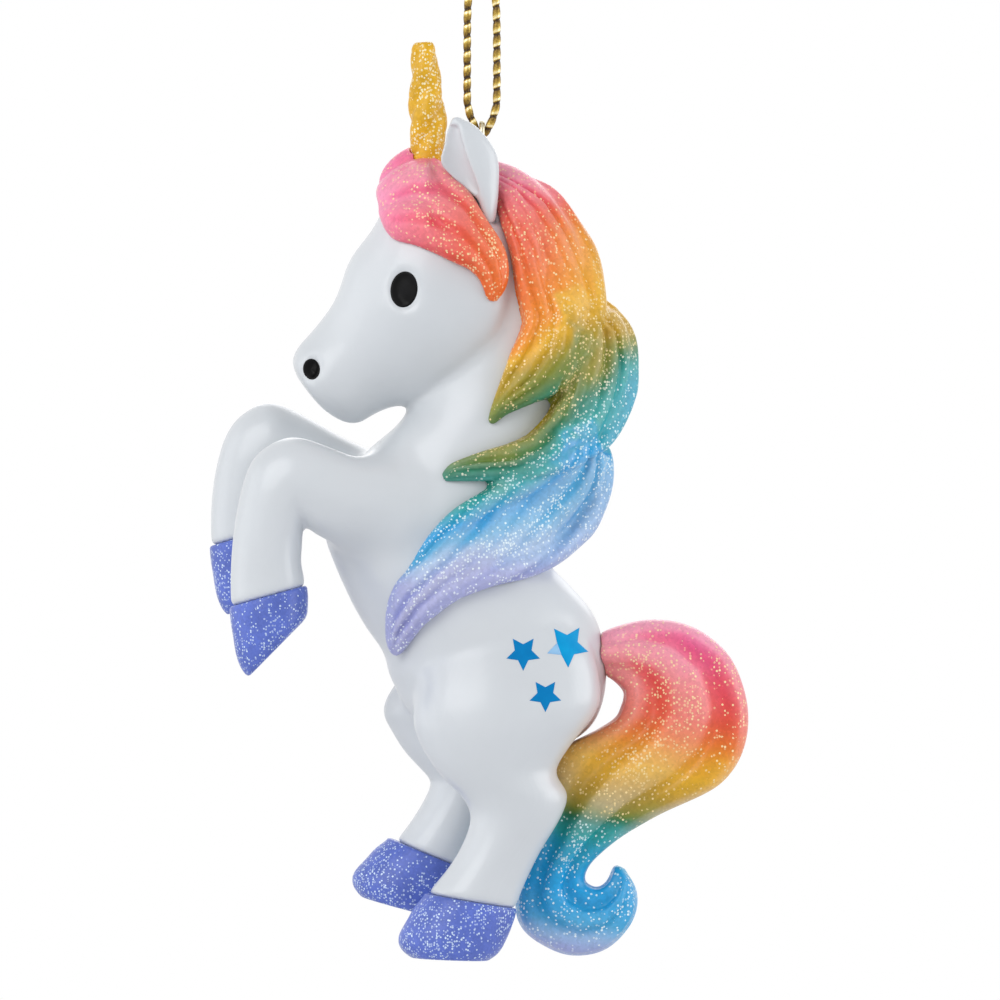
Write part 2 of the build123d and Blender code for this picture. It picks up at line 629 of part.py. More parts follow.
# Legs and hooves
legs = {}
for name, stations, foot, plane, ring in (
    ("left_foreleg", left_fore, left_fore_foot, fore_peg_planes[0], ridged_ring),
    ("right_foreleg", right_fore, right_fore_foot, fore_peg_planes[1], ridged_ring),
    ("left_hind_leg", left_hind, left_hind_foot, hind_peg_planes[0], smooth_ring),
    ("right_hind_leg", right_hind, right_hind_foot, hind_peg_planes[1], smooth_ring),
):
    with BuildPart() as leg:
        loft_stations(stations, ring)
        add(torso_form.part, mode=Mode.SUBTRACT)
        peg(plane, LEG_PEG_DIAMETER, LEG_PEG_LENGTH)
        peg(hoof_plane(foot), HOOF_PEG_DIAMETER, HOOF_PEG_LENGTH, PEG_CLEARANCE, Mode.SUBTRACT)
    leg.part.label = name
    export_step(leg.part, "parts/" + name + ".step")
    legs[name] = leg.part

hooves = {}
for name, foot in (
    ("left_fore_hoof", left_fore_foot),
    ("right_fore_hoof", right_fore_foot),
    ("left_hind_hoof", left_hind_foot),
    ("right_hind_hoof", right_hind_foot),
):
    with BuildPart() as hoof:
        loft_stations(foot)
        peg(hoof_plane(foot), HOOF_PEG_DIAMETER, HOOF_PEG_LENGTH)
    hoof.part.label = name
    export_step(hoof.part, "parts/" + name + ".step")
    hooves[name] = hoof.part

# Eyes and nostrils
for name, plane in (("left_eye", eye_planes[0]), ("right_eye", eye_planes[1])):
    with BuildPart() as eye:
        lens(plane, EYE_HEIGHT, EYE_WIDTH, EYE_DEPTH, EYE_RISE)
        fillet(eye.faces().sort_by(Axis(plane.origin, plane.z_dir))[-1].edges(), LENS_ROUND)
    eye.part.label = name
    export_step(eye.part, "parts/" + name + ".step")

for name, plane in (("left_nostril", nostril_planes[0]), ("right_nostril", nostril_planes[1])):
    with BuildPart() as nostril:
        lens(plane, NOSTRIL_HEIGHT, NOSTRIL_WIDTH, NOSTRIL_DEPTH, NOSTRIL_RISE)
        fillet(nostril.faces().sort_by(Axis(plane.origin, plane.z_dir))[-1].edges(), LENS_ROUND)
    nostril.part.label = name
    export_step(nostril.part, "parts/" + name + ".step")

# Ears: the right one is the mirror image of the left one
with BuildPart() as left_ear:
    loft_stations(lock_stations(EAR_SHARES, on_ear, EAR_THICKNESS))
    loft_stations(lock_stations(EAR_SCOOP_SHARES, on_ear, EAR_THICKNESS), mode=Mode.SUBTRACT)
    add(head_form.part, mode=Mode.SUBTRACT)
    add(torso_form.part, mode=Mode.SUBTRACT)
    peg(ear_peg_planes[0], EAR_PEG_DIAMETER, EAR_PEG_LENGTH)
left_ear.part.label = "left_ear"
export_step(left_ear.part, "parts/left_ear.step")

with BuildPart() as right_ear:
    mirror(left_ear.part, about=Plane.XZ)
right_ear.part.label = "right_ear"
export_step(right_ear.part, "parts/right_ear.step")

# Horn: grooves wind round it from foot to tip
horn_rings = []
with BuildPart() as horn:
    with BuildSketch(horn_plane.offset(-HORN_ROOT)):
        Circle(HORN_BASE_DIAMETER / 2)
    extrude(amount=HORN_ROOT)
    for level, end in zip(HORN_LEVEL_SHARES, HORN_END_SHARES):
        radius = (HORN_BASE_DIAMETER + level * (HORN_TIP_DIAMETER - HORN_BASE_DIAMETER)) * end / 2
        outline = lobed_points(radius, radius, HORN_LOBES, HORN_GROOVE_SHARE, level * HORN_TWIST)
        horn_rings.append(ridged_ring(horn_plane.offset(level * HORN_LENGTH), outline))
    loft(horn_rings)
    add(head_form.part, mode=Mode.SUBTRACT)
    peg(horn_peg_plane, HORN_PEG_DIAMETER, HORN_PEG_LENGTH)
horn.part.label = "horn"
export_step(horn.part, "parts/horn.step")

# Mane: three locks to each side, from the crest down
with BuildPart() as mane:
    for shares in (UPPER_LOCK_SHARES, MIDDLE_LOCK_SHARES, LOWER_LOCK_SHARES):
        loft_stations(lock_stations(shares, on_torso, LOCK_THICKNESS), ridged_ring, HAIR_LOBES, HAIR_GROOVE_SHARE)
    for other in (torso_form.part, head_form.part, left_ear.part):
        add(other, mode=Mode.SUBTRACT)
    split(bisect_by=Plane.XZ, keep=Keep.TOP)
    mirror(about=Plane.XZ)
    with BuildSketch(Plane(origin=wire_centre)):
        Circle(WIRE_DIAMETER / 2 + PEG_CLEARANCE)
    extrude(amount=-(PIN_STAND + PIN_DEPTH), mode=Mode.SUBTRACT)
mane.part.label = "mane"
export_step(mane.part, "parts/mane.step")

# Forelock, swept over the forehead to the left side
with BuildPart() as forelock:
    loft_stations(
        lock_stations(FORELOCK_SHARES, on_head, FORELOCK_THICKNESS), ridged_ring, HAIR_LOBES, HAIR_GROOVE_SHARE
    )
    for other in (head_form.part, horn.part, left_ear.part, right_ear.part, mane.part):
        add(other, mode=Mode.SUBTRACT)
forelock.part.label = "forelock"
export_step(forelock.part, "parts/forelock.step")

# Tail
with BuildPart() as tail:
    loft_stations(upright_stations(TAIL_SHARES, on_tail, TAIL_WIDTH), ridged_ring, HAIR_LOBES, HAIR_GROOVE_SHARE)
    for other in (torso_form.part, *legs.values(), *hooves.values()):
        add(other, mode=Mode.SUBTRACT)
    peg(tail_peg_plane, TAIL_PEG_DIAMETER, TAIL_PEG_LENGTH)
tail.part.label = "tail"
export_step(tail.part, "parts/tail.step")

# Eye pin: the ring stands across the cord
ring_radius = (RING_DIAMETER - WIRE_DIAMETER) / 2
ring_centre = wire_centre - Vector(0, 0, ring_radius)
with BuildPart() as eye_pin:
    with BuildSketch(Plane(origin=wire_centre, x_dir=(1, 0, 0), z_dir=(0, -1, 0))):
        Circle(WIRE_DIAMETER / 2)
    revolve(axis=Axis(ring_centre, (1, 0, 0)))
    with BuildSketch(Plane(origin=wire_centre - Vector(0, 0, 2 * ring_radius))):
        Circle(WIRE_DIAMETER / 2)
    extrude(amount=-(PIN_STAND + PIN_DEPTH - 2 * ring_radius))
eye_pin.part.label = "eye_pin"
export_step(eye_pin.part, "parts/eye_pin.step")

# Hanging cord: from the knot, down through the ring and back up
half_spread = STRAND_SPREAD / 2
half_knot = KNOT_SPREAD / 2
bight_radius = (WIRE_DIAMETER + CORD_DIAMETER) / 2 + CORD_CLEARANCE
shoulder = math.radians(SHOULDER_ANGLE)
closing = math.radians(BIGHT_ANGLE)
bight_depth = bight_radius / math.sin(closing)
spread_end = -KNOT_LEAD - (half_spread - half_knot) / math.tan(shoulder)
close_start = -LOOP_DROP - bight_depth + half_spread / math.tan(closing)
left_run = [(-half_knot, 0), (-half_knot, -KNOT_LEAD), (-half_spread, spread_end), (-half_spread, close_start)]
right_run = [(-x, z) for x, z in reversed(left_run)]
bend_radii = [SHOULDER_RADIUS, SHOULDER_RADIUS, BIGHT_SHOULDER_RADIUS]
with BuildPart() as hanging_cord:
    with BuildLine(Plane(origin=(0, 0, 0), x_dir=(1, 0, 0), z_dir=(0, -1, 0))) as route:
        FilletPolyline(
            *left_run,
            (0, -LOOP_DROP - bight_depth),
            *right_run,
            radius=bend_radii + [bight_radius] + bend_radii[::-1],
        )
    with BuildSketch(Plane(origin=(-half_knot, 0, 0), x_dir=(1, 0, 0), z_dir=(0, 0, -1))):
        Circle(CORD_DIAMETER / 2)
    sweep(path=route.wires()[0])
hanging_cord.part.label = "hanging_cord"
export_step(hanging_cord.part, "parts/hanging_cord.step")
cord_length = route.wires()[0].length
print("cord length", round(cord_length, 2), "bend radii", bend_radii, round(bight_radius, 3))
print("cord volume ratio", hanging_cord.part.volume / (math.pi * CORD_DIAMETER**2 / 4 * cord_length))

# Knot with the two trimmed ends
with BuildPart() as cord_knot:
    with BuildSketch(Plane(origin=(0, 0, 0), x_dir=(1, 0, 0), z_dir=(0, -1, 0))):
        with BuildLine():
            foot = Line((0, 0), (KNOT_SPREAD / 2 + CORD_DIAMETER / 2, 0))
            side = ThreePointArc(
                foot @ 1, (KNOT_DIAMETER / 2, KNOT_HEIGHT / 2), (KNOT_SPREAD / 2 + CORD_DIAMETER / 2, KNOT_HEIGHT)
            )
            top = Line(side @ 1, (0, KNOT_HEIGHT))
            Line(top @ 1, foot @ 0)
        make_face()
    revolve(axis=Axis.Z)
    tail_angle = math.radians(KNOT_TAIL_ANGLE)
    for side in (-1, 1):
        tail_plane = Plane(
            origin=(side * half_knot, 0, KNOT_HEIGHT / 2),
            x_dir=(0, 1, 0),
            z_dir=(side * math.sin(tail_angle), 0, math.cos(tail_angle)),
        )
        with BuildSketch(tail_plane):
            Circle(CORD_DIAMETER / 2)
        extrude(amount=KNOT_HEIGHT / 2 + KNOT_TAIL_LENGTH)
cord_knot.part.label = "cord_knot"
export_step(cord_knot.part, "parts/cord_knot.step")
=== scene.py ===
"""Dressed model of the unicorn ornament: skin, carved hair, glitter, stars, cord, light and camera."""

import math

import bpy
import numpy as np
import openvdb as vdb
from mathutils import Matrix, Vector
from mathutils.bvhtree import BVHTree
from mathutils.kdtree import KDTree


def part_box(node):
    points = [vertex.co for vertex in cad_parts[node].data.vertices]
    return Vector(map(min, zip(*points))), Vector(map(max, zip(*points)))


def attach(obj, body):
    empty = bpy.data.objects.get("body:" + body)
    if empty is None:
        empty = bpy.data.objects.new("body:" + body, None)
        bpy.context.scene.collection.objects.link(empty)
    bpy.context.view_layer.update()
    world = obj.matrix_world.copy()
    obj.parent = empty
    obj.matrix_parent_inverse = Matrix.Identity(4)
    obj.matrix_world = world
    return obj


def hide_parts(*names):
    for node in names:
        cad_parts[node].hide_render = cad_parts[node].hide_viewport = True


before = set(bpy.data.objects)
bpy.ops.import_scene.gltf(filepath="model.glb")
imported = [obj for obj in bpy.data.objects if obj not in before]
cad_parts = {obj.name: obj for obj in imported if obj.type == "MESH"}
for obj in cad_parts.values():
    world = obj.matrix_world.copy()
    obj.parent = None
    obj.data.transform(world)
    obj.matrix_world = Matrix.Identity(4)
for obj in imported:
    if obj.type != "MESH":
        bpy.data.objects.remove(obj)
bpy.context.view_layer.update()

MM = 0.001
BAND = 14  # voxels of distance kept on each side of a surface
PIXELS_PER_MM = 8.0
PIXEL_LEFT = 482.0
PIXEL_TOP = -45.0
NOISE_LOW, NOISE_HIGH = 0.3, 0.7  # most values of a noise lie between these


def place(px, py):
    """X and Z in millimetres of a pixel of the photograph."""
    return (px - PIXEL_LEFT) / PIXELS_PER_MM, (PIXEL_TOP - py) / PIXELS_PER_MM


def pixel(points):
    """Pixels of the photograph for points in millimetres."""
    return points[:, 0] * PIXELS_PER_MM + PIXEL_LEFT, PIXEL_TOP - points[:, 2] * PIXELS_PER_MM


# Distance fields


def node_soup(name):
    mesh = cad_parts[name].data
    mesh.calc_loop_triangles()
    points = np.empty(len(mesh.vertices) * 3, np.float32)
    mesh.vertices.foreach_get("co", points)
    corners = np.empty(len(mesh.loop_triangles) * 3, np.int32)
    mesh.loop_triangles.foreach_get("vertices", corners)
    return points.reshape(-1, 3) / np.float32(MM), corners.reshape(-1, 3).astype(np.uint32)


def lattice(names, voxel, margin=3.0):
    """First index and shape of a grid of voxels round these nodes."""
    boxes = [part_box(name) for name in names]
    low = np.min([np.array(b[0]) for b in boxes], axis=0) / MM - margin
    high = np.max([np.array(b[1]) for b in boxes], axis=0) / MM + margin
    first = np.floor(low / voxel).astype(int)
    shape = np.ceil(high / voxel).astype(int) - first
    return tuple(int(v) for v in first), tuple(int(v) for v in shape)


def field(name, first, shape, voxel):
    """Signed distance to a CAD node, in millimetres, on that grid."""
    points, corners = node_soup(name)
    grid = vdb.FloatGrid.createLevelSetFromPolygons(
        points, triangles=corners, transform=vdb.createLinearTransform(voxel), halfWidth=float(BAND)
    )
    values = np.full(shape, BAND * voxel, np.float32)
    grid.copyToArray(values, ijk=first)
    return values


def smooth_min(a, b, reach):
    mix = np.clip(0.5 + 0.5 * (b - a) / reach, 0.0, 1.0)
    return b + (a - b) * mix - reach * mix * (1.0 - mix)


def blurred(values, rounds):
    for _ in range(rounds):
        for axis in range(3):
            values = (np.roll(values, 1, axis) + 2.0 * values + np.roll(values, -1, axis)) / 4.0
    return values.astype(np.float32)


def surface(values, first, voxel):
    """Points in millimetres and quads of the zero surface."""
    grid = vdb.FloatGrid(float(BAND * voxel))
    grid.copyFromArray(np.ascontiguousarray(values), ijk=first)
    grid.transform = vdb.createLinearTransform(voxel)
    points, quads = grid.convertToQuads(0.0)
    return np.asarray(points, np.float64), np.asarray(quads, np.int64)


def sampled(values, first, voxel, points):
    """Values of a field at points, from the nearest voxel."""
    index = np.rint(points / voxel).astype(int) - np.array(first)
    index = np.clip(index, 0, np.array(values.shape) - 1)
    return values[index[:, 0], index[:, 1], index[:, 2]]


# Mesh helpers


def new_mesh(name, points, faces, smooth=True):
    """Mesh object from points in millimetres."""
    mesh = bpy.data.meshes.new(name)
    mesh.from_pydata((np.asarray(points) * MM).tolist(), [], [list(map(int, f)) for f in faces])
    mesh.polygons.foreach_set("use_smooth", [smooth] * len(mesh.polygons))
    mesh.update()
    obj = bpy.data.objects.new(name, mesh)
    bpy.context.scene.collection.objects.link(obj)
    return obj


def vertex_normals(points, quads):
    a = points[quads[:, 2]] - points[quads[:, 0]]
    b = points[quads[:, 3]] - points[quads[:, 1]]
    face = np.cross(a, b)
    total = np.zeros_like(points)
    for corner in range(4):
        np.add.at(total, quads[:, corner], face)
    length = np.linalg.norm(total, axis=1, keepdims=True)
    return total / np.maximum(length, 1e-12)


def put_attribute(obj, name, values):
    layer = obj.data.attributes.new(name, "FLOAT", "POINT")
    layer.data.foreach_set("value", np.asarray(values, np.float32))


def ring_quad(ring, k, count):
    """Corners of the face between two rings of points, at place k round them."""
    after = (k + 1) % count
    return ring * count + k, ring * count + after, (ring + 1) * count + after, (ring + 1) * count + k


def dress(obj, body, slot, material, *nodes):
    obj.data.materials.clear()
    obj.data.materials.append(material)
    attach(obj, body)
    if nodes:
        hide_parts(*nodes)


# Materials


class Shader:
    """A Principled material and short ways to add nodes to it."""

    def __init__(self, name):
        self.material = bpy.data.materials.new(name)
        self.material.use_nodes = True
        self.tree = self.material.node_tree
        self.bsdf = self.tree.nodes["Principled BSDF"]

    def node(self, kind, **settings):
        made = self.tree.nodes.new(kind)
        for key, value in settings.items():
            setattr(made, key, value)
        return made

    def link(self, out, into):
        self.tree.links.new(out, into)

    def coordinates(self):
        return self.node("ShaderNodeTexCoord").outputs["Object"]

    def noise(self, scale, detail=3.0, roughness=0.5):
        made = self.node("ShaderNodeTexNoise")
        made.inputs["Scale"].default_value = scale
        made.inputs["Detail"].default_value = detail
        made.inputs["Roughness"].default_value = roughness
        self.link(self.coordinates(), made.inputs["Vector"])
        return made.outputs["Fac"]

    def cells(self, scale):
        made = self.node("ShaderNodeTexVoronoi")
        made.inputs["Scale"].default_value = scale
        self.link(self.coordinates(), made.inputs["Vector"])
        return made

    def spread(self, value, low, high, to_low, to_high):
        made = self.node("ShaderNodeMapRange")
        made.inputs["From Min"].default_value = low
        made.inputs["From Max"].default_value = high
        made.inputs["To Min"].default_value = to_low
        made.inputs["To Max"].default_value = to_high
        self.link(value, made.inputs["Value"])
        return made.outputs["Result"]

    def math(self, operation, a, b):
        made = self.node("ShaderNodeMath", operation=operation)
        for socket, value in zip(made.inputs, (a, b)):
            if isinstance(value, (int, float)):
                socket.default_value = value
            else:
                self.link(value, socket)
        return made.outputs[0]

    def ramp(self, value, stops):
        made = self.node("ShaderNodeValToRGB")
        elements = made.color_ramp.elements
        while len(elements) < len(stops):
            elements.new(0.5)
        for element, (position, color) in zip(elements, stops):
            element.position = position
            element.color = (*color, 1.0)
        self.link(value, made.inputs["Fac"])
        return made.outputs["Color"]

    def mix(self, factor, a, b):
        made = self.node("ShaderNodeMix", data_type="RGBA")
        for socket, value in zip((made.inputs["Factor"], made.inputs[6], made.inputs[7]), (factor, a, b)):
            if isinstance(value, (int, float)):
                socket.default_value = value
            elif isinstance(value, tuple):
                socket.default_value = (*value, 1.0)
            else:
                self.link(value, socket)
        return made.outputs[2]

    def bump(self, height, strength, distance):
        made = self.node("ShaderNodeBump")
        made.inputs["Strength"].default_value = strength
        made.inputs["Distance"].default_value = distance
        self.link(height, made.inputs["Height"])
        return made.outputs["Normal"]

    def vary(self, noise, low, high):
        """A noise spread over a range."""
        return self.spread(noise, NOISE_LOW, NOISE_HIGH, low, high)

    def mottle(self, noise, dark, light):
        """Two colours mixed by a noise."""
        return self.ramp(noise, [(NOISE_LOW, dark), (NOISE_HIGH, light)])

    def attribute(self, name):
        return self.node("ShaderNodeAttribute", attribute_name=name).outputs["Fac"]

    def feed(self, **sources):
        """Links node outputs to the shader's own sockets."""
        for key, source in sources.items():
            self.link(source, self.bsdf.inputs[key.replace("_", " ")])

    def set(self, **values):
        for key, value in values.items():
            self.bsdf.inputs[key.replace("_", " ")].default_value = value


def linear(red, green, blue):
    """Scene colour of a display colour given from 0 to 255."""
    shares = [v / 255.0 for v in (red, green, blue)]
    return tuple(v / 12.92 if v <= 0.04045 else ((v + 0.055) / 1.055) ** 2.4 for v in shares)


def white_resin():
    s = Shader("white_resin")
    s.feed(
        Base_Color=s.mottle(s.noise(90.0, 5.0), linear(209, 213, 216), linear(214, 218, 221)),
        Roughness=s.vary(s.noise(700.0, 4.0), 0.33, 0.39),
        Normal=s.bump(s.noise(260.0, 4.0), 0.05, 0.0002),
    )
    s.set(Coat_Weight=0.4, Coat_Roughness=0.2, Specular_IOR_Level=0.5)
    return s.material


def glitter_paint(name, color_from, density, flake=3000.0, rough=0.36, streaked=False):
    """Gloss paint with flakes: each flake is a cell with its own tilt and its own brightness, a glint
    painted into its colour.
    """
    s = Shader(name)
    base, sparkle = color_from(s)
    cell = s.cells(flake)
    parts = s.node("ShaderNodeSeparateColor")
    s.link(cell.outputs["Color"], parts.inputs["Color"])
    chance = s.math("MULTIPLY", s.spread(s.noise(230.0, 3.0), 0.36, 0.64, 0.3, 1.0), density)
    if streaked:
        chance = s.math("MULTIPLY", chance, s.spread(s.attribute("streak"), 0.0, 1.0, 0.3, 1.3))
    # Flakes are real glitter, with their glint painted in: lit flakes get a fixed pale sparkle colour
    bright = s.math("GREATER_THAN", s.math("ADD", parts.outputs["Red"], chance), 1.0)
    core = s.math("LESS_THAN", cell.outputs["Distance"], 0.45)
    brightness = s.spread(parts.outputs["Green"], 0.0, 1.0, 0.35, 1.0)
    level = s.math("MULTIPLY", s.math("MULTIPLY", bright, core), brightness)
    shade = s.mix(s.math("MULTIPLY", parts.outputs["Blue"], 0.14), base, (0.0, 0.0, 0.0))
    tilt = s.math("MULTIPLY", parts.outputs["Green"], chance)
    s.feed(
        Base_Color=s.mix(level, shade, sparkle),
        Roughness=s.spread(level, 0.0, 1.0, rough, 0.2),
        Normal=s.bump(tilt, 0.3, 0.0002),
    )
    s.set(Coat_Weight=0.12, Coat_Roughness=0.14, Specular_IOR_Level=0.28)
    return s.material


# Pale white of the painted highlight on the hair
HIGHLIGHT_WHITE = (1.0, 0.96, 0.94)
# Pale colours of the flakes, partly their own and partly a painted glint
FLAKES = [
    (0.30, linear(255, 226, 170)),
    (0.55, linear(250, 226, 160)),
    (0.66, linear(224, 250, 250)),
    (1.00, linear(246, 250, 255)),
]
RAINBOW = [
    (0.00, linear(255, 130, 178)),
    (0.08, linear(250, 108, 124)),
    (0.16, linear(246, 96, 66)),
    (0.24, linear(248, 122, 30)),
    (0.32, linear(250, 152, 24)),
    (0.40, linear(246, 186, 40)),
    (0.47, linear(200, 158, 14)),
    (0.54, linear(134, 140, 36)),
    (0.60, linear(34, 128, 92)),
    (0.67, linear(28, 168, 168)),
    (0.74, linear(0, 164, 228)),
    (0.81, linear(84, 178, 226)),
    (0.87, linear(158, 192, 232)),
    (0.93, linear(166, 174, 224)),
    (1.00, linear(152, 150, 214)),
]


def rainbow(s):
    """Paint along the rainbow: a pale painted highlight where asked, painted shade (darker and more
    saturated) in the grooves, with gold or white flakes.
    """
    hue, groove = s.attribute("hue"), s.attribute("groove")
    color = s.ramp(s.math("ADD", hue, s.vary(s.noise(150.0, 4.0), -0.018, 0.018)), RAINBOW)
    # Share of painted highlight, smaller in the grooves
    share = s.math("MULTIPLY", s.attribute("painted_highlight"), s.spread(groove, 0.0, 0.4, 1.0, 0.3))
    painted_highlight = s.mix(share, color, HIGHLIGHT_WHITE)
    # Painted shade: the grooves are darker and more saturated
    painted_groove_shade = s.node("ShaderNodeHueSaturation")
    painted_groove_shade.inputs["Saturation"].default_value = 1.3
    painted_groove_shade.inputs["Value"].default_value = 0.78
    s.link(color, painted_groove_shade.inputs["Color"])
    paint = s.mix(s.spread(groove, 0.15, 1.0, 0.0, 0.6), painted_highlight, painted_groove_shade.outputs["Color"])
    return paint, s.ramp(hue, FLAKES)


def plain(color, sparkle):
    """Paint of one colour, a little darker in spots."""

    def made(s):
        tone = s.noise(300.0, 4.0)
        darker = tuple(v * 0.8 for v in color)
        return s.ramp(tone, [(0.32, darker), (0.68, color)]), sparkle

    return made


def black_gloss():
    s = Shader("black_gloss")
    s.feed(
        Base_Color=s.mottle(s.noise(500.0), (0.002, 0.002, 0.002), (0.005, 0.005, 0.006)),
        Roughness=s.vary(s.noise(700.0), 0.3, 0.4),
    )
    s.set(Specular_IOR_Level=0.12)
    return s.material


def star_print(name, dark, light):
    s = Shader(name)
    s.feed(
        Base_Color=s.mottle(s.noise(650.0, 5.0), linear(*dark), linear(*light)),
        Roughness=s.vary(s.noise(900.0), 0.4, 0.5),
    )
    s.set(Specular_IOR_Level=0.12)
    return s.material


def bright_wire():
    s = Shader("wire")
    tone = s.noise(2200.0, 4.0)
    s.feed(
        Base_Color=s.mottle(tone, linear(178, 168, 140), linear(214, 206, 182)),
        Roughness=s.vary(tone, 0.2, 0.38),
    )
    s.set(Metallic=1.0)
    return s.material


def gold_cord():
    """Metallic cord: the attribute is low between the strands and high on them, so the colour runs from
    painted shade between the strands to a painted highlight on them.
    """
    s = Shader("gold_cord")
    tone = s.math("ADD", s.attribute("painted_shade_and_highlight"), s.vary(s.noise(4200.0, 3.0), -0.16, 0.16))
    stops = [
        (0.04, linear(56, 38, 18)),
        (0.30, linear(140, 110, 34)),
        (0.65, linear(198, 168, 74)),
        (0.95, linear(255, 240, 190)),
    ]
    s.feed(Base_Color=s.ramp(tone, stops), Roughness=s.spread(tone, 0.0, 1.0, 0.5, 0.24))
    s.set(Metallic=0.45)
    return s.material


LAVENDER, LAVENDER_SPARKLE = linear(100, 122, 212), linear(220, 238, 255)
HORN_GOLD, GOLD_SPARKLE = linear(248, 190, 36), linear(255, 248, 206)
WHITE = white_resin()
HAIR = glitter_paint("rainbow_hair", rainbow, 0.62, streaked=True)
HOOF = glitter_paint("lavender_glitter", plain(LAVENDER, LAVENDER_SPARKLE), 0.62, flake=3600.0)
GOLD = glitter_paint("gold_glitter", plain(HORN_GOLD, GOLD_SPARKLE), 0.72)
BLACK = black_gloss()
BLUE = star_print("star_blue", (0, 122, 186), (0, 132, 196))
AZURE = star_print("star_azure", (0, 150, 212), (4, 162, 220))
# Pale blue of a reflection painted over one arm of the large star
REFLECTION_BLUE = star_print("star_painted_reflection", (140, 188, 230), (158, 204, 238))
WIRE = bright_wire()
CORD = gold_cord()

# Seamless white skin over torso, head and legs, cut into one piece for each node

SKIN_VOXEL = 0.3
SKIN_NODES = ["torso", "head", "left_foreleg", "right_foreleg", "left_hind_leg", "right_hind_leg"]
FILLETS = {
    "head": 0.7,
    "left_foreleg": 4.4,
    "right_foreleg": 3.0,
    "left_hind_leg": 1.6,
    "right_hind_leg": 1.6,
}
SKIN_BLUR = 4
PLUG_INSET = 0.5  # the skin closes the pockets of eyes and nostrils, this far in
first, shape = lattice(SKIN_NODES, SKIN_VOXEL)
fields = {name: field(name, first, shape, SKIN_VOXEL) for name in SKIN_NODES}
whole = fields["torso"]
for name, reach in FILLETS.items():
    whole = smooth_min(whole, fields[name], reach)
for name in ("left_eye", "right_eye", "left_nostril", "right_nostril"):
    plug = field(name, first, shape, SKIN_VOXEL)
    whole = np.minimum(whole, plug + PLUG_INSET)
whole = blurred(whole, SKIN_BLUR)
skin_points, skin_quads = surface(whole, first, SKIN_VOXEL)
skin_normals = vertex_normals(skin_points, skin_quads)
centres = skin_points[skin_quads].mean(axis=1)
nearest = np.argmin([sampled(fields[name], first, SKIN_VOXEL, centres) for name in SKIN_NODES], axis=0)
skin_tree = BVHTree.FromPolygons(skin_points.tolist(), skin_quads.tolist())
for number, name in enumerate(SKIN_NODES):
    faces = skin_quads[nearest == number]
    used, packed = np.unique(faces, return_inverse=True)
    piece = new_mesh(name + "_skin", skin_points[used], packed.reshape(-1, 4))
    piece.data.normals_split_custom_set_from_vertices(skin_normals[used].tolist())
    dress(piece, "figure", "white_resin", WHITE, name)
del fields, whole

# Ears and hooves


def remeshed(node, voxel, rounds, grow=0.0):
    """Even mesh of a CAD node, softened, and grown by a little where asked."""
    start, size = lattice([node], voxel)
    return surface(blurred(field(node, start, size, voxel), rounds) - np.float32(grow), start, voxel)


EAR_VOXEL = 0.18
HOOF_VOXEL = 0.2
HOOF_GROWTH = 0.1
for node in ("left_ear", "right_ear"):
    ear = new_mesh(node + "_skin", *remeshed(node, EAR_VOXEL, 2))
    dress(ear, "figure", "white_resin", WHITE, node)
for node in ("left_fore_hoof", "right_fore_hoof", "left_hind_hoof", "right_hind_hoof"):
    hoof = new_mesh(node + "_skin", *remeshed(node, HOOF_VOXEL, 2, HOOF_GROWTH))
    dress(hoof, "figure", "lavender_glitter", HOOF, node)

# Flow of the hair: stations as pixels of one edge and of the other

UPPER_FLOW = [
    (472, 163, 468, 178), (497, 170, 488, 195), (524, 184, 500, 202), (552, 198, 503, 228),
    (580, 231, 507, 255), (598, 265, 511, 292), (606, 305, 519, 325), (598, 348, 509, 350),
    (562, 392, 503, 370), (530, 406, 497, 390), (508, 415, 491, 408), (493, 426, 487, 422),
]
MIDDLE_FLOW = [
    (579, 286, 552, 297), (620, 330, 575, 335), (628, 370, 568, 372), (627, 405, 556, 398),
    (608, 447, 543, 415), (570, 472, 525, 433), (530, 482, 500, 446), (490, 482, 475, 454),
    (458, 482, 450, 464), (444, 483, 441, 475),
]
LOWER_FLOW = [
    (595, 420, 563, 429), (603, 468, 550, 455), (598, 505, 520, 465), (582, 540, 488, 480),
    (548, 572, 462, 497), (505, 588, 436, 522), (463, 600, 412, 556), (430, 622, 396, 582),
    (412, 643, 389, 612), (403, 653, 389, 640), (398, 656, 393, 652),
]
FORELOCK_FLOW = [
    (384, 196, 384, 219), (393, 176, 392, 245), (414, 163, 411, 254), (442, 164, 438, 264),
    (466, 185, 460, 271), (486, 222, 473, 277), (503, 250, 480, 288), (507, 278, 483, 299),
    (499, 304, 489, 309),
]
TAIL_FLOW = [
    (588, 676, 588, 644), (607, 676, 604, 632), (622, 690, 645, 620), (622, 700, 690, 625),
    (619, 706, 730, 655), (612, 718, 749, 705), (590, 731, 745, 752), (555, 750, 720, 787),
    (538, 785, 665, 813), (532, 825, 622, 837), (522, 868, 592, 862), (515, 905, 585, 878),
    (525, 933, 590, 884), (565, 955, 597, 886), (605, 950, 604, 883), (632, 922, 609, 876),
    (637, 893, 612, 868), (625, 868, 615, 864),
]


def flow_samples(stations, along=150, across=80):
    """Pixels with their shares along and across a lock."""
    table = np.array(stations, float)
    steps = np.linspace(0.0, len(table) - 1.0, along)
    rows = np.stack([np.interp(steps, np.arange(len(table)), table[:, k]) for k in range(4)], axis=1)
    shares = np.linspace(0.0, 1.0, across)
    px = rows[:, None, 0] + (rows[:, None, 2] - rows[:, None, 0]) * shares
    py = rows[:, None, 1] + (rows[:, None, 3] - rows[:, None, 1]) * shares
    width = np.hypot(rows[:, 2] - rows[:, 0], rows[:, 3] - rows[:, 1])
    s = np.repeat(np.linspace(0.0, 1.0, along), across)
    return px.ravel(), py.ravel(), s, np.tile(shares, along), np.repeat(width, across)


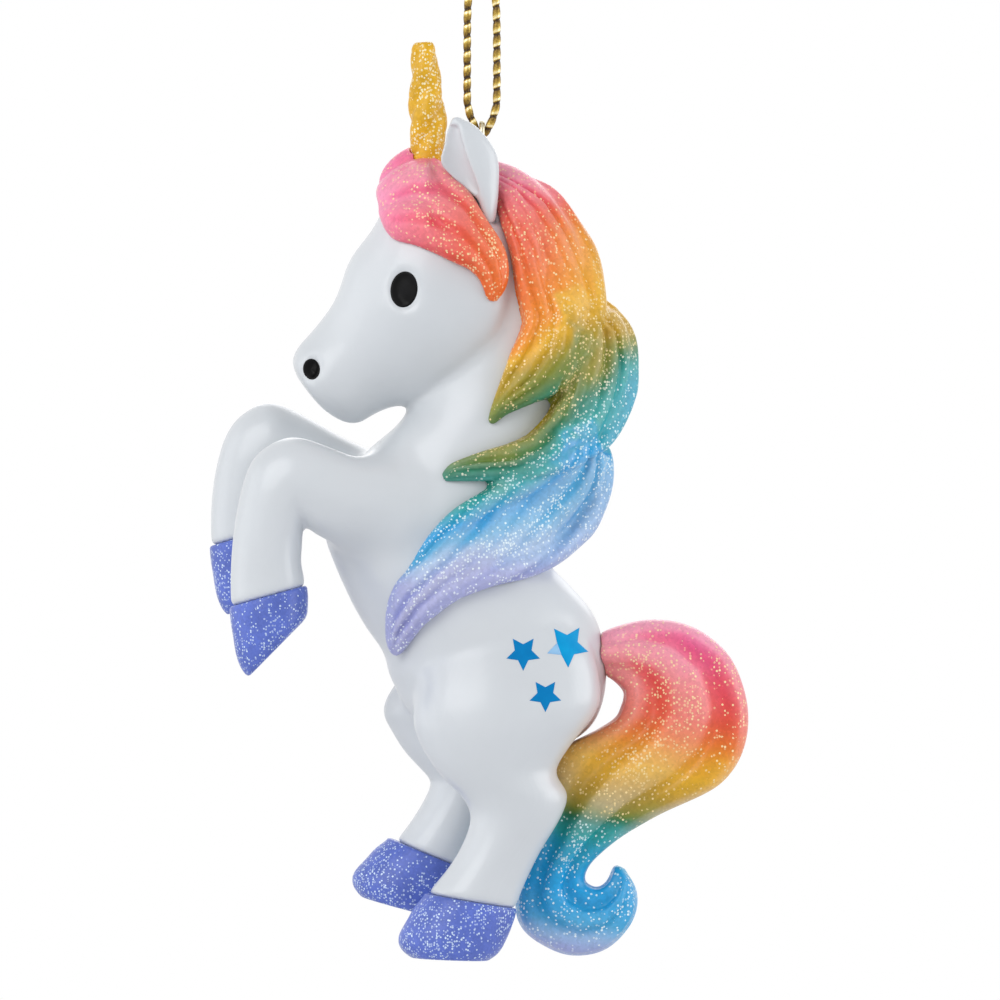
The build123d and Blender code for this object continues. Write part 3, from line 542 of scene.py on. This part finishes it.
def flow_at(points, locks):
    """For each point: the lock it is on, shares along and across it, and its width in pixels."""
    samples = [flow_samples(stations) for stations in locks]
    total = sum(len(item[0]) for item in samples)
    tree = KDTree(total)
    rows = []
    for number, item in enumerate(samples):
        for px, py, s, t, width in zip(*item):
            tree.insert((px, py, 0.0), len(rows))
            rows.append((number, s, t, width))
    tree.balance()
    table = np.array(rows)
    px, py = pixel(points)
    found = np.array([tree.find((x, y, 0.0))[1] for x, y in zip(px, py)])
    return table[found]


def relaxed(values, quads, rounds, count):
    """Values averaged with their neighbours along the mesh."""
    edges = np.concatenate([quads[:, (k, (k + 1) % 4)] for k in range(4)])
    number = np.bincount(edges.ravel(), minlength=count)
    for _ in range(rounds):
        total = np.bincount(edges[:, 0], values[edges[:, 1]], count)
        total += np.bincount(edges[:, 1], values[edges[:, 0]], count)
        values = 0.5 * values + 0.5 * total / np.maximum(number, 1)
    return values


def ridges(phase):
    """Groove depth from 0 on a ridge to 1 in a valley, with round ridges and narrow valleys."""
    return np.abs(np.cos(phase)) ** 5.0


def carved(points, quads, groove, depth):
    """Points moved inwards along their normals where there is a groove."""
    return points - vertex_normals(points, quads) * (groove * depth)[:, None]


def hair_piece(node, points, quads, groove, hue, streak, painted_highlight, depth):
    """Carved piece of hair with the attributes that its paint reads."""
    count = len(points)
    piece = new_mesh(node + "_hair", carved(points, quads, groove, depth), quads)
    put_attribute(piece, "hue", np.clip(relaxed(hue, quads, 8, count), 0.0, 1.0))
    put_attribute(piece, "groove", groove)
    put_attribute(piece, "painted_highlight", np.clip(relaxed(painted_highlight, quads, 4, count), 0.0, 1.0))
    put_attribute(piece, "streak", np.clip(relaxed(streak, quads, 4, count), 0.0, 1.0))
    dress(piece, "figure", "rainbow_hair", HAIR, node)


def laid_out(table, along, across):
    """Values of a table with a row for each station and three columns: one edge, middle, other edge."""
    table = np.array(table, float)
    steps = np.linspace(0.0, 1.0, len(table))
    one, middle, other = (np.interp(along, steps, table[:, k]) for k in range(3))
    first_half = one + (middle - one) * np.clip(2.0 * across, 0.0, 1.0)
    second_half = middle + (other - middle) * np.clip(2.0 * across - 1.0, 0.0, 1.0)
    return np.where(across < 0.5, first_half, second_half)


def waves(along, across, number, slant):
    """Streaks that run along a lock."""
    return 0.5 + 0.5 * np.sin(2 * math.pi * (number * across + slant * along) + 2.0 * np.sin(7.0 * along))


# Hues of each lock: outer edge, middle and inner edge at each of its stations
UPPER_HUES = [
    (0.02, 0.02, 0.04), (0.03, 0.04, 0.07), (0.05, 0.07, 0.11), (0.11, 0.14, 0.17),
    (0.31, 0.20, 0.19), (0.39, 0.29, 0.22), (0.44, 0.34, 0.26), (0.57, 0.47, 0.28),
    (0.60, 0.52, 0.46), (0.58, 0.53, 0.48), (0.57, 0.55, 0.52), (0.56, 0.56, 0.55),
]
MIDDLE_HUES = [
    (0.43, 0.44, 0.46), (0.47, 0.48, 0.56), (0.68, 0.52, 0.55), (0.71, 0.63, 0.50),
    (0.71, 0.65, 0.49), (0.70, 0.63, 0.50), (0.68, 0.60, 0.52), (0.66, 0.60, 0.55),
    (0.63, 0.60, 0.57), (0.62, 0.61, 0.60),
]
LOWER_HUES = [
    (0.76, 0.75, 0.74), (0.84, 0.79, 0.70), (0.86, 0.76, 0.62), (0.90, 0.78, 0.61),
    (0.93, 0.84, 0.63), (0.95, 0.90, 0.69), (0.96, 0.94, 0.80), (0.96, 0.95, 0.91),
    (0.96, 0.96, 0.94), (0.96, 0.96, 0.95), (0.96, 0.96, 0.96),
]

LOCK_RIDGES = np.array([5.0, 4.0, 4.0])
MANE_VOXEL, MANE_DEPTH = 0.25, 0.55
FORELOCK_VOXEL, FORELOCK_DEPTH = 0.22, 0.3
TAIL_VOXEL, TAIL_DEPTH, TAIL_HALF_DEPTH = 0.25, 0.4, 4.6

# Mane
points, quads = remeshed("mane", MANE_VOXEL, 1)
flow = flow_at(points, [UPPER_FLOW, MIDDLE_FLOW, LOWER_FLOW])
lock, along, across, width = flow.T
fade = np.clip(width / 40.0, 0.0, 1.0) * np.clip(along / 0.1, 0.15, 1.0)
lock = lock.astype(int)
sway = 0.3 * np.sin(9.0 * along + 4.0 * across)
phase = math.pi * (LOCK_RIDGES[lock] * across + sway + 0.10 * np.abs(points[:, 1]))
strength = 0.62 + 0.38 * np.sin(5.0 * across + 6.0 * along)
groove = relaxed(ridges(phase) * fade * strength, quads, 1, len(points))
hues = [laid_out(table, along, across) for table in (UPPER_HUES, MIDDLE_HUES, LOWER_HUES)]
hue = np.choose(lock, hues)
bare_top = np.where(lock == 0, np.clip((along - 0.25) / 0.3, 0.15, 1.0), 1.0)
streak = waves(along, across, 2.0, 0.8) * bare_top
# Painted highlight of each lock: near the top and outer edge of the upper lock, even on the middle lock,
# across the middle of the lower lock
painted_highlights = [
    0.03 + 0.22 * np.clip(1.1 - 2.0 * along, 0.0, 1.0) * (1.0 - 0.7 * across),
    np.full(len(points), 0.07),
    0.06 + 0.16 * np.sin(math.pi * across),
]
hair_piece("mane", points, quads, groove, hue, streak, np.choose(lock, painted_highlights), MANE_DEPTH)

# Forelock
points, quads = remeshed("forelock", FORELOCK_VOXEL, 2)
lock, along, across, width = flow_at(points, [FORELOCK_FLOW]).T
px, py = pixel(points)
fade = np.clip(width / 50.0, 0.0, 1.0) * np.clip(along / 0.25, 0.0, 1.0)
groove = relaxed(0.7 * ridges(math.pi * (3.0 * across + 0.6 * along)) * fade, quads, 1, len(points))
slope = px + 0.35 * (py - 200.0)
hue = np.interp(slope, [375, 410, 445, 480, 520], [0.0, 0.04, 0.10, 0.17, 0.22])
# Painted highlight, strongest at the top of the forelock
painted_highlight = np.interp(py, [170.0, 215.0, 285.0], [0.2, 0.1, 0.01])
streak = waves(along, across, 1.6, 0.5) * np.clip(along / 0.5, 0.2, 1.0)
hair_piece("forelock", points, quads, groove, hue, streak, painted_highlight, FORELOCK_DEPTH)

# Tail: its grooves fade out towards the rump
points, quads = remeshed("tail", TAIL_VOXEL, 1)
lock, along, across, width = flow_at(points, [TAIL_FLOW]).T
px, py = pixel(points)
turn = np.arctan2(points[:, 1] / TAIL_HALF_DEPTH, 2.0 * across - 1.0)
fade = np.clip(width / 60.0, 0.0, 1.0) * np.clip((along - 0.08) / 0.12, 0.0, 1.0)
groove = relaxed(ridges(3.5 * turn + 0.8 * along) * fade, quads, 2, len(points))
level = py - 0.2 * (px - 640.0)
hue_levels = [630, 680, 710, 730, 745, 785, 815, 835, 860, 905, 930, 960]
hues = [0.03, 0.11, 0.16, 0.24, 0.34, 0.44, 0.52, 0.66, 0.72, 0.745, 0.79, 0.92]
hue = np.interp(level, hue_levels, hues)
curl_start = 0.86
hue = np.where(along > curl_start, 0.78 - (along - curl_start) * 0.5, hue)
# Painted highlight: strongest near the top and in a band lower down, none at the bottom
painted_highlight = np.interp(level, [630, 700, 770, 812, 845, 900], [0.24, 0.16, 0.1, 0.26, 0.05, 0.01])
streak = waves(along, across, 1.5, 1.0) * 0.8
hair_piece("tail", points, quads, groove, hue, streak, painted_highlight, TAIL_DEPTH)

# Horn: a shallow groove winds up it
HORN_FOOT = (429.4, 154.7)
HORN_TOP = (423.5, 42.0)
HORN_TURNS = 5.0
HORN_VOXEL, HORN_DEPTH = 0.16, 0.07
points, quads = remeshed("horn", HORN_VOXEL, 1)
foot_x, foot_z = place(*HORN_FOOT)
top_x, top_z = place(*HORN_TOP)
share = (points[:, 2] - foot_z) / (top_z - foot_z)
angle = np.arctan2(points[:, 1], points[:, 0] - foot_x - (top_x - foot_x) * share)
ends = np.clip((1.0 - share) / 0.12, 0.0, 1.0) * np.clip(share / 0.1, 0.0, 1.0)
groove = ridges(math.pi * HORN_TURNS * share + 0.5 * angle) * ends
horn = new_mesh("horn_spiral", carved(points, quads, groove, HORN_DEPTH), quads)
dress(horn, "figure", "gold_glitter", GOLD, "horn")

# Eyes, nostrils and stars lie on the skin

OUTSIDE = 60.0  # millimetres from the middle plane, clear of the figure
PATCH_FOOT = -0.35  # the last ring of a patch goes this far under the skin


def on_skin(px, py, side, lift):
    """Point over the skin at a pixel, seen from one side."""
    x, z = place(px, py)
    start = Vector((x, side * OUTSIDE, z))
    hit, normal, _, _ = skin_tree.ray_cast(start, Vector((0.0, -side, 0.0)))
    return hit + normal * lift


def patch(name, outline, side, rise, rim):
    """Thin raised patch over an outline in pixels, laid on the skin from one side."""
    outline = np.array(outline, float)
    middle = outline.mean(axis=0)
    shares = [0.0, 0.25, 0.5, 0.7, 0.85, 0.94, 1.0, 1.0]
    lifts = [rise, rise, rise, rise, rise * 0.97, rise * 0.8, rise * rim, PATCH_FOOT]
    rows = []
    for share, lift in zip(shares[1:], lifts[1:]):
        rows += [on_skin(px, py, side, lift) for px, py in middle + (outline - middle) * share]
    rows.append(on_skin(*middle, side, rise))
    count = len(outline)
    faces = [ring_quad(ring, k, count) for ring in range(len(shares) - 2) for k in range(count)]
    faces += [(len(rows) - 1, (k + 1) % count, k) for k in range(count)]
    if side > 0:
        faces = [f[::-1] for f in faces]
    return new_mesh(name, [tuple(r) for r in rows], faces)


def oval(px, py, width, height, lean, count=64):
    """Leaning ellipse as an outline in pixels."""
    cosine, sine = math.cos(math.radians(lean)), math.sin(math.radians(lean))
    made = []
    for k in range(count):
        angle = 2 * math.pi * k / count
        x, y = width / 2 * math.cos(angle), height / 2 * math.sin(angle)
        made.append((px + x * cosine - y * sine, py + x * sine + y * cosine))
    return made


def star_corners(px, py, size, turn, count=5, inner=0.5):
    """Corners of a plain star in pixels, from its first tip."""
    corners = []
    for k in range(2 * count):
        angle = math.radians(turn) + math.pi * k / count
        reach = size / 2 * (1.0 if k % 2 == 0 else inner)
        corners.append((px + reach * math.sin(angle), py - reach * math.cos(angle)))
    return corners


def divided(corners, steps=8):
    """Outline with its edges divided so that it follows the skin."""
    made = []
    for k, (x, y) in enumerate(corners):
        x2, y2 = corners[(k + 1) % len(corners)]
        made += [(x + (x2 - x) * i / steps, y + (y2 - y) * i / steps) for i in range(steps)]
    return made


# Ovals: centre, width and height in pixels, lean in degrees. Stars: centre, size and turn alike
EYE_OVAL = (404.5, 290.5, 27, 36, 8)
NOSTRIL_OVAL = (312, 369.5, 17, 21, -8)
EYE_RISE, NOSTRIL_RISE, OVAL_RIM = 0.16, 0.1, 0.2
SMALL_STARS = [(523, 652, 35, 180), (545, 694, 33, 180)]
LARGE_STAR = (567, 645, 43, 178)
LEFT_ARM = 2
STAR_RISE, STAR_RIM = 0.05, 0.6
for side, word in ((-1, "left"), (1, "right")):
    eye = patch(word + "_eye_gloss", oval(*EYE_OVAL), side, EYE_RISE, OVAL_RIM)
    dress(eye, "figure", "black_gloss", BLACK, word + "_eye")
    nostril = patch(word + "_nostril_gloss", oval(*NOSTRIL_OVAL), side, NOSTRIL_RISE, OVAL_RIM)
    dress(nostril, "figure", "black_gloss", BLACK, word + "_nostril")
large_star = star_corners(*LARGE_STAR)
star_prints = [
    ("star_1", star_corners(*SMALL_STARS[0]), BLUE),
    ("star_2", star_corners(*SMALL_STARS[1]), BLUE),
    # The large star's left arm carries a painted reflection in pale blue
    ("star_3_arm_reflection", large_star[LEFT_ARM - 1:LEFT_ARM + 2], REFLECTION_BLUE),
    ("star_3", large_star[:LEFT_ARM] + large_star[LEFT_ARM + 1:], AZURE),
]
for name, corners, material in star_prints:
    dress(patch(name, divided(corners), -1, STAR_RISE, STAR_RIM), "figure", "white_resin", material)

# Eye pin keeps its shape
pin_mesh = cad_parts["eye_pin"].data
pin_mesh.materials.clear()
pin_mesh.materials.append(WIRE)

# Cord: the route's points are the control points of a smooth line
HALF_SPREAD, HALF_KNOT, KNOT_LEAD = 1.85, 0.55, 1.3
SPREAD_END, STRAIGHT_END, CLOSE_START, BIGHT_LOW = -4.088, -16.5, -19.4, -23.366
CORD_DIAMETER = 1.0
left_run = [(-HALF_KNOT, 0.0), (-HALF_KNOT, -KNOT_LEAD)]
left_run += [(-HALF_SPREAD, z) for z in (SPREAD_END, STRAIGHT_END, CLOSE_START)]
route = left_run + [(0.0, BIGHT_LOW)] + [(-x, z) for x, z in reversed(left_run)]
line = bpy.data.curves.new("cord_line", "CURVE")
line.dimensions = "3D"
line.resolution_u = 24
spline = line.splines.new("NURBS")
spline.points.add(len(route) - 1)
for point, (x, z) in zip(spline.points, route):
    point.co = (x * MM, 0.0, z * MM, 1.0)
spline.order_u = 3
spline.use_endpoint_u = True
guide = bpy.data.objects.new("cord_line", line)
bpy.context.scene.collection.objects.link(guide)
bpy.context.view_layer.update()
sampled_line = bpy.data.meshes.new_from_object(guide)
path = [tuple(v.co) for v in sampled_line.vertices]
bpy.data.objects.remove(guide)

CORD_BEAD = 1.72
CORD_STEP = 0.07
CORD_WAIST = 0.74  # share of the diameter between two beads
# Painted shade and highlight along each bead: share of the bead, then tone
BEAD_SHADE_AND_HIGHLIGHT = [(0.0, 0.0), (0.1, 0.05), (0.22, 1.0), (0.34, 0.8), (0.55, 0.38), (0.82, 0.22), (1.0, 0.0)]


def braid(name, path, diameter, sides=24):
    """Chain-woven cord along a path: a row of beads, with painted shade between them and a painted
    highlight on the upper half of each.
    """
    line = np.array(path) / MM
    lengths = np.concatenate([[0.0], np.cumsum(np.linalg.norm(np.diff(line, axis=0), axis=1))])
    stations = np.linspace(0.0, lengths[-1], int(lengths[-1] / CORD_STEP))
    centre = np.stack([np.interp(stations, lengths, line[:, k]) for k in range(3)], axis=1)
    flow = np.gradient(centre, axis=0)
    flow /= np.linalg.norm(flow, axis=1, keepdims=True)
    side_way = np.array([0.0, 1.0, 0.0])
    other = np.cross(flow, side_way)
    rows, painted_shades_and_highlights = [], []
    for station, middle, across in zip(stations, centre, other):
        for k in range(sides):
            angle = 2 * math.pi * k / sides
            bead = (station / CORD_BEAD + 0.1 * math.cos(angle)) % 1.0
            radius = diameter / 2 * (CORD_WAIST + (1.0 - CORD_WAIST) * math.sqrt(math.sin(math.pi * bead)))
            rows.append(middle + radius * (math.cos(angle) * across + math.sin(angle) * side_way))
            painted_shades_and_highlights.append(np.interp(bead, *zip(*BEAD_SHADE_AND_HIGHLIGHT)))
    faces = [ring_quad(ring, k, sides) for ring in range(len(stations) - 1) for k in range(sides)]
    faces.append(tuple(range(sides))[::-1])
    faces.append(tuple((len(stations) - 1) * sides + k for k in range(sides)))
    made = new_mesh(name, rows, faces)
    put_attribute(made, "painted_shade_and_highlight", painted_shades_and_highlights)
    return made, lengths[-1]


cord, cord_length = braid("braided_cord", path, CORD_DIAMETER)
dress(cord, "hanger", "gold_cord", CORD, "hanging_cord")

# Knot: grooves between the turns of the cord
KNOT_VOXEL, KNOT_DEPTH = 0.12, 0.2
points, quads = remeshed("cord_knot", KNOT_VOXEL, 1)
winding = np.arctan2(points[:, 1], points[:, 0]) + 4.2 * points[:, 2]
groove = ridges(1.5 * winding)
knot = new_mesh("knot_turns", carved(points, quads, groove, KNOT_DEPTH), quads)
# Painted shade in the grooves between the turns, painted highlight on the turns
put_attribute(knot, "painted_shade_and_highlight", np.clip(1.0 - 1.1 * groove, 0.0, 1.0))
dress(knot, "hanger", "gold_cord", CORD, "cord_knot")

# Stage, light and camera


def see_white(tree, shader_out, target):
    """White to the camera and in reflections, the given shader to all other light."""
    paths = tree.nodes.new("ShaderNodeLightPath")
    either = tree.nodes.new("ShaderNodeMath")
    either.operation = "MAXIMUM"
    tree.links.new(paths.outputs["Is Camera Ray"], either.inputs[0])
    tree.links.new(paths.outputs["Is Glossy Ray"], either.inputs[1])
    both = tree.nodes.new("ShaderNodeMath")
    both.operation = "MAXIMUM"
    tree.links.new(either.outputs[0], both.inputs[0])
    tree.links.new(paths.outputs["Is Transmission Ray"], both.inputs[1])
    white = tree.nodes.new("ShaderNodeBackground")
    white.inputs["Color"].default_value = (1.0, 1.0, 1.0, 1.0)
    white.inputs["Strength"].default_value = 1.0
    mix = tree.nodes.new("ShaderNodeMixShader")
    tree.links.new(both.outputs[0], mix.inputs["Fac"])
    tree.links.new(shader_out, mix.inputs[1])
    tree.links.new(white.outputs[0], mix.inputs[2])
    tree.links.new(mix.outputs[0], target)


SKY_COLOR, SKY_STRENGTH = (0.93, 0.95, 1.0, 1.0), 0.5
world = bpy.data.worlds.new("studio")
bpy.context.scene.world = world
world.use_nodes = True
sky = world.node_tree.nodes["Background"]
sky.inputs["Color"].default_value = SKY_COLOR
sky.inputs["Strength"].default_value = SKY_STRENGTH
see_white(world.node_tree, sky.outputs[0], world.node_tree.nodes["World Output"].inputs["Surface"])

FLOOR_HALF, FLOOR_LEVEL = 450.0, -165.0
floor_paint = Shader("pale_floor")
floor_tone = floor_paint.noise(9.0)
floor_paint.feed(Base_Color=floor_paint.mottle(floor_tone, (0.80, 0.80, 0.81), (0.84, 0.84, 0.85)))
floor_paint.set(Roughness=0.7)
ways = ((-1, -1), (1, -1), (1, 1), (-1, 1))
corners = [(x * FLOOR_HALF, y * FLOOR_HALF, FLOOR_LEVEL) for x, y in ways]
floor = new_mesh("floor", corners, [(0, 1, 2, 3)], False)
floor.data.materials.append(floor_paint.material)


def lamp(name, spot, aim, size, power):
    data = bpy.data.lights.new(name, "AREA")
    data.shape = "RECTANGLE"
    data.size, data.size_y = size
    data.energy = power
    made = bpy.data.objects.new(name, data)
    made.location = spot
    made.rotation_mode = "QUATERNION"
    made.rotation_quaternion = (Vector(aim) - Vector(spot)).to_track_quat("-Z", "Y")
    bpy.context.scene.collection.objects.link(made)


# Lamps: name, place and size in metres, power
LIT_POINT = (0.0, 0.0, -0.068)
LAMPS = [
    ("key", (-0.38, -0.5, 0.28), (0.5, 0.5), 2.2),
    ("left", (-0.62, -0.04, 0.02), (0.5, 0.6), 0.7),
    ("right", (0.62, -0.1, 0.02), (0.5, 0.6), 2.1),
    ("back", (0.1, 0.55, 0.25), (0.5, 0.4), 0.8),
]
for name, spot, size, power in LAMPS:
    lamp(name, spot, LIT_POINT, size, power)

VIEW_WIDTH = 0.125
VIEW_X, VIEW_Z = 0.00225, -0.068125
camera_data = bpy.data.cameras.new("camera")
camera_data.sensor_width = 36.0
camera_data.lens = 500.0
distance = VIEW_WIDTH * camera_data.lens / camera_data.sensor_width
camera = bpy.data.objects.new("camera", camera_data)
camera.location = (VIEW_X, -distance, VIEW_Z)
camera.rotation_euler = (math.radians(90.0), 0.0, 0.0)
camera_data.clip_start, camera_data.clip_end = 0.05, 20.0
bpy.context.scene.collection.objects.link(camera)
bpy.context.scene.camera = camera
bpy.context.scene.view_settings.view_transform = "Standard"
